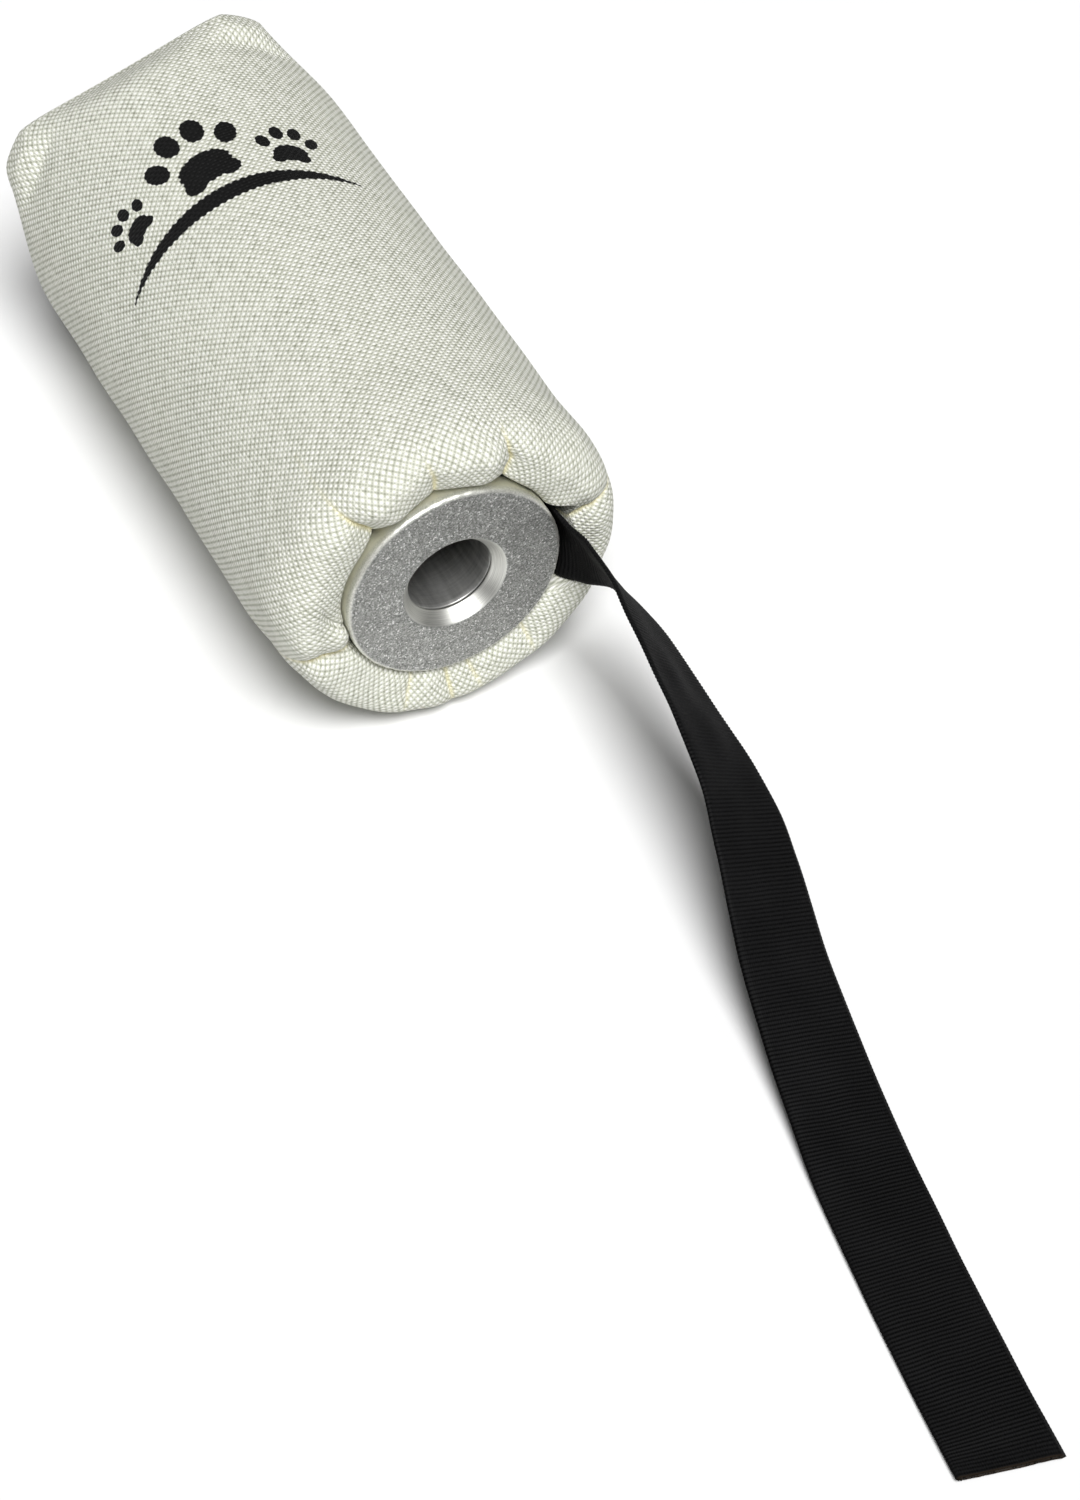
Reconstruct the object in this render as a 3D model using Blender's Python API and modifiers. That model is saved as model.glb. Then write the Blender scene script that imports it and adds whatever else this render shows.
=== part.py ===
"""Launcher-type training bumper: canvas over foam, a cast flange with a blind bore, and a streamer.

Metres, +Z up. The bumper lies on its side on z = 0, its axis runs along Y and its flange faces -Y.
The origin is on that surface, under the middle of the body. A "depth" is a distance behind the
front face of the flange, along the body's axis.
"""
import math

import bmesh
import bpy
from mathutils import Matrix, Vector

# Driving dimensions
COVER_RADIUS = 0.038
FLATTENING = 0.0006            # how far the foam gives where the body lies on the ground
CLOTH = 0.0010
BODY_LENGTH = 0.1452           # flange face to the rear face of the cover
FLANGE_RADIUS = 0.0235
FLANGE_THICKNESS = 0.0053
BORE_RADIUS = 0.00925
BORE_DEPTH = 0.0920
MOUTH_RADIUS = 0.0114
MOUTH_DEPTH = 0.0028
TUBE_WALL = 0.00185
WEBBING_WIDTH = 0.020
WEBBING_THICKNESS = 0.0012
THREAD = 0.0005
GAP = 0.0003                   # between pieces that touch

# Worked out from them
AXIS_HEIGHT = COVER_RADIUS - FLATTENING
END_THREAD_TOP = GAP + THREAD
TOTAL_LENGTH = BODY_LENGTH + END_THREAD_TOP
FRONT_Y = -TOTAL_LENGTH / 2
TUBE_OUTER_RADIUS = BORE_RADIUS + TUBE_WALL
TUBE_FRONT = MOUTH_DEPTH + 0.0007
TUBE_REAR = BORE_DEPTH + 0.0070
FLANGE_BORE_RADIUS = TUBE_OUTER_RADIUS + GAP

# The boxed rear end: a square with rounded corners, turned about the axis
BOX_TURN = math.radians(106.9)
BOX_START = 3.2 * COVER_RADIUS
BOX_EXPONENT = 5.0
BOX_EASE = 5
END_ROUNDING = 0.0038
COVER_SIDES = 40

# The mouth of the cover, behind and around the flange
HEM_RADIUS = 0.0129
HEM_FRONT = 0.0082
HEM_BACK = 0.0126
MOUTH_MIDDLE = math.radians(-2.0)      # the side on which the webbing passes the mouth
MOUTH_HALF = math.radians(52.0)        # to either side of it the mouth is widened
HEM_TUNNEL = ((0.0190, HEM_BACK), (0.0146, HEM_BACK), (0.0133, 0.0118), (HEM_RADIUS, 0.0104),
              (0.0133, 0.0090), (0.0146, HEM_FRONT), (0.0215, HEM_FRONT))
MOUTH_ROLL = ((0.0244, 0.0076, 0.0034), (0.0249, 0.0055, 0.0032), (0.0251, 0.0026, 0.0037),
              (0.0306, 0.0003, 0.0018), (0.0346, 0.0020, 0.0004), (0.0370, 0.0060, 0.0),
              (COVER_RADIUS, 0.0130, 0.0))    # radius, depth, how far it is widened
BODY_START = 0.0600

# The foam inside
FOAM_RADIUS = COVER_RADIUS - CLOTH - 0.0006
FOAM_SHOULDER = 0.0060
FOAM_SPLIT = 0.1060            # where the sleeve ends and the nose pad begins
FOAM_BORE = TUBE_OUTER_RADIUS + 2 * GAP
FOAM_RECESS = HEM_BACK + CLOTH
COLLAR_RADIUS = 0.0296
PAD_CHAMFER = 0.0035

# Cords, threads and the streamer's tail
DRAWCORD_RADIUS = 0.0009
DRAWCORD_RING = 0.0152
HEM_THREAD_RING = 0.0175
SEAM_ANGLE = math.radians(-55.0)       # the side seam, low on the right
SEAM_SPACING = math.radians(9.0)       # between its two rows of stitches
SEAM_START = 0.0160
END_SEAM_HALF = 0.0240
TAIL_DEPTH = 0.0070            # middle of the streamer's tail, behind the flange
TACK_INNER = 0.0160            # the tack zigzags across the tail between these two places
TACK_OUTER = 0.0192
TACK_STEP = 0.0012
TACK_POINTS = 13

# The streamer's route: across, depth, height and turn of the webbing, in millimetres and degrees.
# At a turn of 0 the webbing stands on its edge, and at 90 it lies flat.
STREAMER_ROUTE = [
    (15.5, 7.0, 35.9, 0), (19.5, 7.0, 35.9, 0), (23.0, 6.7, 35.9, 0), (24.5, 5.2, 35.9, 1),
    (25.0, 2.8, 36.0, 4), (26.0, 0.0, 36.2, 10), (27.1, -3.4, 36.5, 16), (28.2, -7.8, 36.7, 22),
    (28.9, -12.8, 36.7, 27), (29.4, -20.5, 36.2, 32), (29.2, -30.0, 35.0, 37),
    (28.9, -39.8, 33.2, 41), (28.7, -49.5, 31.2, 46), (28.4, -59.3, 28.8, 51),
    (27.6, -68.7, 25.4, 56), (26.1, -77.5, 21.1, 61), (24.4, -86.0, 16.4, 66),
    (22.7, -94.8, 11.8, 70), (21.3, -103.9, 7.9, 74), (19.8, -113.3, 4.9, 78),
    (17.8, -125.4, 2.4, 82), (15.6, -137.6, 1.3, 87), (13.7, -149.6, 1.0, 90),
    (12.0, -161.5, 0.9, 90), (10.4, -173.4, 0.9, 90), (8.9, -185.4, 0.9, 90),
    (7.5, -197.4, 0.9, 90), (6.6, -206.6, 0.9, 90),
]
STREAMER_STEPS = 2             # stretches of webbing between two points of the route

COLOURS = {
    "cast_aluminium": ((0.55, 0.55, 0.56), 0.45, 1.0),
    "machined_aluminium": ((0.42, 0.42, 0.43), 0.30, 1.0),
    "white_canvas": ((0.78, 0.78, 0.72), 0.80, 0.0),
    "foam": ((0.62, 0.62, 0.60), 0.95, 0.0),
    "black_webbing": ((0.012, 0.012, 0.014), 0.70, 0.0),
    "white_thread": ((0.85, 0.84, 0.78), 0.65, 0.0),
}


def clear_scene():
    for old in list(bpy.data.objects):
        bpy.data.objects.remove(old, do_unlink=True)


def make_collection(name):
    group = bpy.data.collections.new(name)
    bpy.context.scene.collection.children.link(group)
    return group


def make_material(name):
    colour, roughness, metallic = COLOURS[name]
    material = bpy.data.materials.get(name) or bpy.data.materials.new(name)
    material.use_nodes = True
    shader = material.node_tree.nodes["Principled BSDF"]
    shader.inputs["Base Color"].default_value = (*colour, 1.0)
    shader.inputs["Roughness"].default_value = roughness
    shader.inputs["Metallic"].default_value = metallic
    return material


def add_object(name, data, material_name):
    """A new sub-part in the bumper's collection, with its material."""
    piece = bpy.data.objects.new(name, data)
    bumper.objects.link(piece)
    data.materials.append(make_material(material_name))
    return piece


def on_axis(piece):
    """Turn a piece made about local Z so that it lies on the body's axis, its Z being depth."""
    piece.rotation_euler = (-math.pi / 2, 0.0, 0.0)
    piece.location = (0.0, FRONT_Y, AXIS_HEIGHT)


def arc(centre, radius, start, end, steps):
    """Points (radius, depth) of a circular arc, from one angle to another in degrees."""
    points = []
    for step in range(steps + 1):
        angle = math.radians(start + (end - start) * step / steps)
        points.append((centre[0] + radius * math.cos(angle), centre[1] + radius * math.sin(angle)))
    return points


def turned(name, profile, material_name, steps, closed=True):
    """A turned piece: profile is (radius, depth), running down its outer side from the rear."""
    mesh = bpy.data.meshes.new(name)
    edges = [(i, i + 1) for i in range(len(profile) - 1)]
    if closed:
        edges.append((len(profile) - 1, 0))
    mesh.from_pydata([(radius, 0.0, depth) for radius, depth in profile], edges, [])
    piece = add_object(name, mesh, material_name)
    screw = piece.modifiers.new("turn", "SCREW")
    screw.steps = steps
    screw.render_steps = steps
    screw.use_merge_vertices = True
    screw.merge_threshold = 0.00001
    screw.use_smooth_shade = True
    on_axis(piece)
    return piece


def ring(name, radius, thickness, depth, material_name, sides=36, section=8):
    """A closed cord or thread round the body's axis."""
    bpy.ops.mesh.primitive_torus_add(
        major_radius=radius, minor_radius=thickness, major_segments=sides, minor_segments=section)
    piece = bpy.context.object
    for group in list(piece.users_collection):
        group.objects.unlink(piece)
    bumper.objects.link(piece)
    piece.name = name
    piece.data.name = name
    piece.data.materials.append(make_material(material_name))
    piece.data.shade_smooth()
    piece.rotation_euler = (-math.pi / 2, 0.0, 0.0)
    piece.location = (0.0, FRONT_Y + depth, AXIS_HEIGHT)
    return piece


def wire(name, points, radius, material_name, sections=2):
    """A round thread: a curve with a bevel and filled caps."""
    curve = bpy.data.curves.new(name, "CURVE")
    curve.dimensions = "3D"
    curve.bevel_depth = radius
    curve.bevel_resolution = sections
    curve.use_fill_caps = True
    spline = curve.splines.new("POLY")
    spline.points.add(len(points) - 1)
    for point, place in zip(spline.points, points):
        point.co = (*place, 1.0)
    return add_object(name, curve, material_name)


def squared(exponent):
    """A ring of the cover at radius 1: a round section whose girth is kept as it is squared."""
    outline = []
    for side in range(COVER_SIDES):
        angle = 2 * math.pi * side / COVER_SIDES
        cosine, sine = abs(math.cos(angle)), abs(math.sin(angle))
        reach = (cosine ** exponent + sine ** exponent) ** (-1 / exponent)
        outline.append(Vector((reach * math.cos(angle), reach * math.sin(angle))))
    girth = sum((outline[i] - outline[i - 1]).length for i in range(COVER_SIDES))
    round_girth = 2 * COVER_SIDES * math.sin(math.pi / COVER_SIDES)
    return [point * (round_girth / girth) for point in outline]


def box_exponent(depth):
    share = (depth - BOX_START) / (BODY_LENGTH - END_ROUNDING - BOX_START)
    return 2 + (BOX_EXPONENT - 2) * min(max(share, 0.0), 1.0) ** BOX_EASE


def streamer_share(angle):
    """1 where the webbing passes the cover's mouth, falling to 0 on both sides of it."""
    return min(1.0, 3 * max(0.0, 1 - abs(angle - MOUTH_MIDDLE) / MOUTH_HALF))


def body_ring(depth, radius=COVER_RADIUS, inset=0.0, widen=0.0):
    """The cover's outline at a depth, moved in by inset, and widened where the webbing passes."""
    outline = squared(box_exponent(depth))
    points = []
    for side, point in enumerate(outline):
        along = outline[(side + 1) % COVER_SIDES] - outline[side - 1]
        outward = Vector((along.y, -along.x)).normalized()
        place = point * radius - outward * inset
        place.rotate(turn_of_box)
        if widen:
            share = streamer_share(math.atan2(place.y, place.x))
            place *= 1 + widen * share / place.length
        height = max(place.y, -AXIS_HEIGHT + max(inset, 0.0))
        points.append(Vector((place.x, FRONT_Y + depth, AXIS_HEIGHT + height)))
    return points


def loft(name, rings, material_name, closed_start=False, closed_end=True):
    """Quads from ring to ring, with a flat face over the ends that are closed."""
    mesh = bpy.data.meshes.new(name)
    shape = bmesh.new()
    rows = [[shape.verts.new(point) for point in row] for row in rings]
    for first, second in zip(rows, rows[1:]):
        for side in range(len(first)):
            after = (side + 1) % len(first)
            shape.faces.new((first[side], second[side], second[after], first[after]))
    if closed_end:
        shape.faces.new(reversed(rows[-1]))
    if closed_start:
        shape.faces.new(rows[0])
    for face in shape.faces:
        face.smooth = True
    shape.to_mesh(mesh)
    shape.free()
    return add_object(name, mesh, material_name)


def make_flange():
    """The cast disc: a rounded rim, a machined countersink and a bore for the tube."""
    rim = 0.0012
    edge = 0.0004
    lip = MOUTH_DEPTH + 0.0004
    profile = [(FLANGE_BORE_RADIUS, FLANGE_THICKNESS), (FLANGE_RADIUS - edge, FLANGE_THICKNESS),
               (FLANGE_RADIUS, FLANGE_THICKNESS - edge)]
    profile += arc((FLANGE_RADIUS - rim, rim), rim, 0, -90, 4)
    profile += [(MOUTH_RADIUS, 0.0), (BORE_RADIUS, MOUTH_DEPTH), (BORE_RADIUS, lip),
                (FLANGE_BORE_RADIUS, lip)]
    turned("front_flange", profile, "cast_aluminium", 48)


def make_tube_and_plug():
    profile = [(BORE_RADIUS, TUBE_REAR), (TUBE_OUTER_RADIUS, TUBE_REAR),
               (TUBE_OUTER_RADIUS, TUBE_FRONT), (BORE_RADIUS, TUBE_FRONT)]
    turned("launcher_tube", profile, "machined_aluminium", 40)
    chamfer = 0.0005
    plug_radius = BORE_RADIUS - GAP
    profile = [(0.0, TUBE_REAR), (plug_radius - chamfer, TUBE_REAR),
               (plug_radius, TUBE_REAR - chamfer), (plug_radius, BORE_DEPTH + chamfer),
               (plug_radius - chamfer, BORE_DEPTH), (0.0, BORE_DEPTH)]
    turned("tube_plug", profile, "machined_aluminium", 24, closed=False)


def make_foam():
    """The sleeve round the tube, with a recess for the flange, and the pad that closes the nose."""
    profile = [(FOAM_BORE, FOAM_SPLIT), (FOAM_RADIUS, FOAM_SPLIT), (FOAM_RADIUS, 0.0150)]
    profile += arc((FOAM_RADIUS - FOAM_SHOULDER - 0.0006, 0.0095), FOAM_SHOULDER, 0, -75, 4)
    profile += [(COLLAR_RADIUS + 0.0006, 0.0042), (COLLAR_RADIUS, 0.0056),
                (COLLAR_RADIUS, FOAM_RECESS), (FOAM_BORE, FOAM_RECESS)]
    turned("foam_sleeve", profile, "foam", 40)
    inset = COVER_RADIUS - FOAM_RADIUS
    pad_front = FOAM_SPLIT + GAP
    pad_rear = BODY_LENGTH - CLOTH - 0.0005
    straight_end = pad_rear - PAD_CHAMFER
    depths = [pad_front, BOX_START]
    depths += [BOX_START + (straight_end - BOX_START) * step / 3 for step in (1, 2, 3)]
    rings = [body_ring(depth, inset=inset) for depth in depths]
    rings.append(body_ring(pad_rear, inset=inset + PAD_CHAMFER))
    loft("nose_pad", rings, "foam", closed_start=True)


def make_cover():
    """One cloth: hem tunnel, mouth round the flange, rolled front, body and boxed rear end."""
    rings = [body_ring(depth, radius) for radius, depth in HEM_TUNNEL]
    rings += [body_ring(depth, radius, widen=widen) for radius, depth, widen in MOUTH_ROLL]
    box_end = BODY_LENGTH - END_ROUNDING
    depths = [BODY_START, BOX_START]
    depths += [BOX_START + (box_end - BOX_START) * step / 4 for step in (1, 2, 3, 4)]
    rings += [body_ring(depth) for depth in depths]
    for turn in (30, 60, 90):
        angle = math.radians(turn)
        rings.append(body_ring(box_end + END_ROUNDING * math.sin(angle),
                               inset=END_ROUNDING * (1 - math.cos(angle))))
    cover = loft("canvas_cover", rings, "white_canvas")
    thickness = cover.modifiers.new("cloth", "SOLIDIFY")
    thickness.thickness = CLOTH
    thickness.offset = -1.0
    thickness.use_rim = True


def make_drawcord_and_hem():
    middle = (HEM_FRONT + HEM_BACK) / 2
    ring("drawcord", DRAWCORD_RING, DRAWCORD_RADIUS, middle, "white_thread")
    behind = HEM_BACK + GAP + THREAD / 2
    ring("hem_thread", HEM_THREAD_RING, THREAD / 2, behind, "white_thread", 32, 6)


def make_seam_threads():
    """Two rows of stitches along the body, low on its right, and one across its rear end."""
    reach = COVER_RADIUS + GAP + THREAD / 2
    for name, angle in (("side_seam_thread_a", SEAM_ANGLE - SEAM_SPACING / 2),
                        ("side_seam_thread_b", SEAM_ANGLE + SEAM_SPACING / 2)):
        points = [(reach * math.cos(angle), FRONT_Y + depth, AXIS_HEIGHT + reach * math.sin(angle))
                  for depth in (SEAM_START, 0.045, 0.075, 0.105, BOX_START)]
        wire(name, points, THREAD / 2, "white_thread")
    across = Vector((math.cos(BOX_TURN), 0.0, math.sin(BOX_TURN)))
    centre = Vector((0.0, FRONT_Y + BODY_LENGTH + GAP + THREAD / 2, AXIS_HEIGHT))
    points = [centre + across * END_SEAM_HALF * step / 2 for step in (-2, -1, 0, 1, 2)]
    wire("end_seam_thread", points, THREAD / 2, "white_thread")


def smooth_route(points, steps):
    """Points on a Catmull-Rom curve through the route's own points."""
    ends = [2 * points[0] - points[1]] + points + [2 * points[-1] - points[-2]]
    smooth = []
    for before, start, end, after in zip(ends, ends[1:], ends[2:], ends[3:]):
        for step in range(steps):
            t = step / steps
            smooth.append(0.5 * (2 * start + (end - before) * t
                                 + (2 * before - 5 * start + 4 * end - after) * t * t
                                 + (3 * start - before - 3 * end + after) * t ** 3))
    smooth.append(points[-1])
    return smooth


def make_streamer():
    """The webbing: a flat section swept along its route, with half a twist."""
    route = [Vector((x / 1000, FRONT_Y + depth / 1000, z / 1000, math.radians(turn)))
             for x, depth, z, turn in STREAMER_ROUTE]
    points = smooth_route(route, STREAMER_STEPS)
    curve = bpy.data.curves.new("streamer", "CURVE")
    curve.dimensions = "3D"
    curve.twist_mode = "Z_UP"
    curve.bevel_depth = WEBBING_THICKNESS / 2
    curve.extrude = (WEBBING_WIDTH - WEBBING_THICKNESS) / 2
    curve.bevel_resolution = 1
    curve.use_fill_caps = True
    spline = curve.splines.new("POLY")
    spline.points.add(len(points) - 1)
    for point, place in zip(spline.points, points):
        point.co = (place.x, place.y, place.z, 1.0)
        point.tilt = place.w
    add_object("streamer", curve, "black_webbing")


def make_tack():
    """The zigzag of thread that sews the streamer's tail down behind the flange."""
    depth = TAIL_DEPTH - WEBBING_THICKNESS / 2 - GAP - THREAD / 2
    middle = STREAMER_ROUTE[0][2] / 1000
    points = []
    for stitch in range(TACK_POINTS):
        across = TACK_INNER if stitch % 2 else TACK_OUTER
        height = middle + (stitch - TACK_POINTS // 2) * TACK_STEP
        points.append((across, FRONT_Y + depth, height))
    wire("streamer_tack_thread", points, THREAD / 2, "white_thread", 1)


clear_scene()
bumper = make_collection("training_bumper")
turn_of_box = Matrix.Rotation(BOX_TURN, 2)
make_flange()
make_tube_and_plug()
make_foam()
make_cover()
make_drawcord_and_hem()
make_seam_threads()
make_streamer()
make_tack()
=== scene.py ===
"""Looks of the launcher-type training bumper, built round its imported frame.

Metres, +Z up. The body's axis runs along Y and its flange faces -Y. A "depth" is a distance behind
the front face of the flange. Angles round the axis run from +X towards +Z.
"""
import math

import bpy
import numpy as np
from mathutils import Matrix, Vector


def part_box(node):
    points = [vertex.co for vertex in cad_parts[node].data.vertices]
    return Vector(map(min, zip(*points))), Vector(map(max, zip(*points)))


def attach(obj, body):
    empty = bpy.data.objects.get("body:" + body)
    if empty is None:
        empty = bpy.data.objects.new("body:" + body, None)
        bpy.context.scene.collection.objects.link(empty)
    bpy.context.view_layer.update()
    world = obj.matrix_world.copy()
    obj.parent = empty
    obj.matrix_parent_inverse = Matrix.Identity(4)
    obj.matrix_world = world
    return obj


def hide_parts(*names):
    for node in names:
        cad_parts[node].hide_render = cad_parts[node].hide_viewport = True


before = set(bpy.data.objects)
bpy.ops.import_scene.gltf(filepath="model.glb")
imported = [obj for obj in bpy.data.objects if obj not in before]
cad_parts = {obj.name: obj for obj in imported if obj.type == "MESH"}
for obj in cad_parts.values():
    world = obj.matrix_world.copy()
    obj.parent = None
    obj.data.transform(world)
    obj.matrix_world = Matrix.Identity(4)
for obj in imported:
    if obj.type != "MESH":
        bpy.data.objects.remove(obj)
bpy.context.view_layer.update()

# Taken from the frame
flange_low, flange_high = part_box("front_flange")
cover_low, cover_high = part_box("canvas_cover")
tube_low, tube_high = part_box("launcher_tube")
plug_low, plug_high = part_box("tube_plug")
foam_low, foam_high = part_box("foam_sleeve")
pad_low, pad_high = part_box("nose_pad")
cord_low, cord_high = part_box("drawcord")
hem_low, hem_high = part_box("hem_thread")
end_low, end_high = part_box("end_seam_thread")

FRONT_Y = flange_low.y
AXIS_Z = (flange_low.z + flange_high.z) / 2
FLANGE_RADIUS = (flange_high.x - flange_low.x) / 2
FLANGE_THICKNESS = flange_high.y - flange_low.y
BODY_RADIUS = (cover_high.x - cover_low.x) / 2
BODY_LENGTH = cover_high.y - FRONT_Y
TUBE_RADIUS = (tube_high.x - tube_low.x) / 2
FOAM_RADIUS = (foam_high.x - foam_low.x) / 2

# Turned metal
BORE_RADIUS = 0.00925
MOUTH_RADIUS = 0.0114
MOUTH_DEPTH = 0.0028
FLANGE_BORE_RADIUS = TUBE_RADIUS + 0.0003

# The boxed rear end, as in part.py but with slightly squarer corners
BOX_TURN = math.radians(106.9)
BOX_START = 3.2 * BODY_RADIUS
BOX_EXPONENT = 5.5
BOX_EASE = 5
END_ROUNDING = 0.0031

# Cloth
YARN = 0.00083                     # from one yarn to the next
YARNS_ROUND = 2 * round(math.pi * BODY_RADIUS / YARN)
SEAM_ANGLE = math.radians(-55.0)
SEAM_SPACING = math.radians(9.0)   # between the two rows of stitches
STITCH_PITCH = 0.0030
SEAM_THREAD = 0.00023              # radius of the seams' thread

# The streamer's route, as in part.py: across, depth, height (mm) and turn of the webbing (degrees)
STREAMER_ROUTE = [
    (15.5, 7.0, 35.9, 0), (19.5, 7.0, 35.9, 0), (23.0, 6.7, 35.9, 0), (24.5, 5.2, 35.9, 1),
    (25.0, 2.8, 36.0, 4), (26.0, 0.0, 36.2, 10), (27.1, -3.4, 36.5, 16), (28.2, -7.8, 36.7, 22),
    (28.9, -12.8, 36.7, 27), (29.4, -20.5, 36.2, 32), (29.2, -30.0, 35.0, 37),
    (28.9, -39.8, 33.2, 41), (28.7, -49.5, 31.2, 46), (28.4, -59.3, 28.8, 51),
    (27.6, -68.7, 25.4, 56), (26.1, -77.5, 21.1, 61), (24.4, -86.0, 16.4, 66),
    (22.7, -94.8, 11.8, 70), (21.3, -103.9, 7.9, 74), (19.8, -113.3, 4.9, 78),
    (17.8, -125.4, 2.4, 82), (15.6, -137.6, 1.3, 87), (13.7, -149.6, 1.0, 90),
    (12.0, -161.5, 0.9, 90), (10.4, -173.4, 0.9, 90), (8.9, -185.4, 0.9, 90),
    (7.5, -197.4, 0.9, 90), (6.6, -206.6, 0.9, 90),
]
EXIT_POINT = 4                 # the place in the route where the webbing passes the flange's rim
WEBBING_WIDTH = 0.020
WEBBING_THICKNESS = 0.0010
RIB_PITCH = 0.00085
CUT_SLANT = 0.0013             # how far the cut end runs ahead at one edge and behind at the other
CUT_BACK = 0.0006              # how far short of the route's end it is in the middle
WEBBING_LOWEST = 0.00025


# ---------------------------------------------------------------- helpers: meshes

def mesh_object(name, points, faces, material, uv=None, values=None):
    """An object from an array of points and a list of faces, shaded smooth."""
    mesh = bpy.data.meshes.new(name)
    mesh.from_pydata(np.asarray(points, float).reshape(-1, 3).tolist(), [], [tuple(f) for f in faces])
    if uv is not None:
        layer = mesh.uv_layers.new(name="weave")
        layer.data.foreach_set("uv", np.asarray(uv, np.float32).ravel())
    for key, numbers in (values or {}).items():
        attribute = mesh.attributes.new(key, "FLOAT", "POINT")
        attribute.data.foreach_set("value", np.asarray(numbers, np.float32).ravel())
    mesh.validate()
    mesh.shade_smooth()
    mesh.materials.append(material)
    piece = bpy.data.objects.new(name, mesh)
    bpy.context.scene.collection.objects.link(piece)
    return piece


def place_on_body(piece, slot_name, *nodes):
    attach(piece, "root")
    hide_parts(*nodes)
    return piece


def grid_faces(rows, columns, closed=False):
    """Quads of a grid whose rows are rings. If it is closed, the last row joins the first."""
    r, c = np.meshgrid(np.arange(rows if closed else rows - 1), np.arange(columns), indexing="ij")
    below, after = (r + 1) % rows, (c + 1) % columns
    corners = [r * columns + c, below * columns + c, below * columns + after, r * columns + after]
    return np.stack(corners, -1).reshape(-1, 4)


def cap(row, columns):
    """One face over a row of such a grid."""
    return tuple(range(row * columns, (row + 1) * columns))


def around_axis(radius, depth, angle):
    return np.stack([radius * np.cos(angle), FRONT_Y + depth, AXIS_Z + radius * np.sin(angle)], -1)


def lathe(name, profile, steps, material, closed=False, wobble=None):
    """A turned piece. profile is (radius, depth), running down its outer side from the rear."""
    radius, depth = np.repeat(np.asarray(profile, float).T[..., None], steps, 2)
    angle = 2 * np.pi * np.arange(steps) / steps + 0 * radius
    if wobble:
        radius, depth = wobble(radius, depth, angle)
    faces = grid_faces(len(profile), steps, closed)[:, ::-1]
    return mesh_object(name, around_axis(radius, depth, angle), faces, material)


def arc(centre, radius, start, end, steps):
    """Points (radius, depth) of a circular arc, from one angle to another in degrees."""
    turns = np.radians(np.linspace(start, end, steps + 1))
    return [(centre[0] + radius * math.cos(t), centre[1] + radius * math.sin(t)) for t in turns]


def across_path(points):
    """Two vectors across a path at each of its points, turning as little as they can."""
    tangents = np.gradient(points, axis=0)
    tangents /= np.linalg.norm(tangents, axis=1)[:, None]
    start = np.cross(tangents[0], (0, 0, 1.0) if abs(tangents[0][2]) < 0.9 else (1.0, 0, 0))
    sides = [start / np.linalg.norm(start)]
    for tangent in tangents[1:]:
        side = sides[-1] - tangent * sides[-1].dot(tangent)
        sides.append(side / np.linalg.norm(side))
    return np.array(sides), np.cross(tangents, sides)


def tubes(name, paths, radius, material, sides=8, closed=False):
    """Round threads along several paths, as one piece."""
    points, faces, rows = [], [], 0
    turn = 2 * np.pi * np.arange(sides)[:, None] / sides
    for path in paths:
        path = np.asarray(path, float)
        looped = np.concatenate([path[-2:], path, path[:2]]) if closed else path
        side, up = (a[2:-2, None] if closed else a[:, None] for a in across_path(looped))
        points.append(path[:, None] + radius * (side * np.cos(turn) + up * np.sin(turn)))
        faces += (rows * sides + grid_faces(len(path), sides, closed)[:, ::-1]).tolist()
        rows += len(path)
        if not closed:
            faces += [cap(rows - len(path), sides)[::-1], cap(rows - 1, sides)]
    return mesh_object(name, np.concatenate(points), faces, material)


def smooth_route(points, steps):
    """Points on a Catmull-Rom curve through the route's own points."""
    points = np.asarray(points, float)
    ends = np.concatenate([[2 * points[0] - points[1]], points, [2 * points[-1] - points[-2]]])
    smooth = []
    for before, start, end, after in zip(ends, ends[1:], ends[2:], ends[3:]):
        for t in np.arange(steps) / steps:
            smooth.append(0.5 * (2 * start + (end - before) * t
                                 + (2 * before - 5 * start + 4 * end - after) * t * t
                                 + (3 * start - before - 3 * end + after) * t ** 3))
    smooth.append(points[-1])
    return np.array(smooth)


def step_between(value, low, high):
    """0 up to low, 1 from high on, and a smooth step between them. low may be the larger one."""
    t = np.clip((value - low) / (high - low), 0, 1)
    return t * t * (3 - 2 * t)


def bump_at(value, middle, width):
    return np.exp(-((value - middle) / width) ** 2)


def crease_at(value, width):
    return np.exp(-np.abs(value) / width)


def turn_between(angle, middle):
    """The signed angle from middle to angle, within half a turn."""
    return (angle - middle + np.pi) % (2 * np.pi) - np.pi


def waves(seed, *coordinates, count=14, low=1.0, high=6.0):
    """A smooth, seeded, random surface of about +-1, from a sum of waves."""
    random = np.random.default_rng(seed)
    total = 0
    for _ in range(count):
        directions = random.normal(size=len(coordinates))
        directions *= random.uniform(low, high) / np.linalg.norm(directions)
        phase = random.uniform(0, 2 * np.pi)
        total = total + np.sin(sum(d * c for d, c in zip(directions, coordinates)) + phase)
    return total / math.sqrt(count / 2) / 1.6


# ---------------------------------------------------------------- helpers: materials

class Signal:
    """A node's output. Arithmetic with it adds the maths nodes that do the same."""

    def __init__(self, nodes, socket):
        self.nodes, self.socket = nodes, socket

    def __add__(self, other):
        return self.nodes.maths("ADD", self, other)

    def __sub__(self, other):
        return self.nodes.maths("SUBTRACT", self, other)

    def __rsub__(self, other):
        return self.nodes.maths("SUBTRACT", other, self)

    def __mul__(self, other):
        return self.nodes.maths("MULTIPLY", self, other)

    def __pow__(self, other):
        return self.nodes.maths("POWER", self, other)

    def __abs__(self):
        return self.nodes.maths("ABSOLUTE", self)


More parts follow.
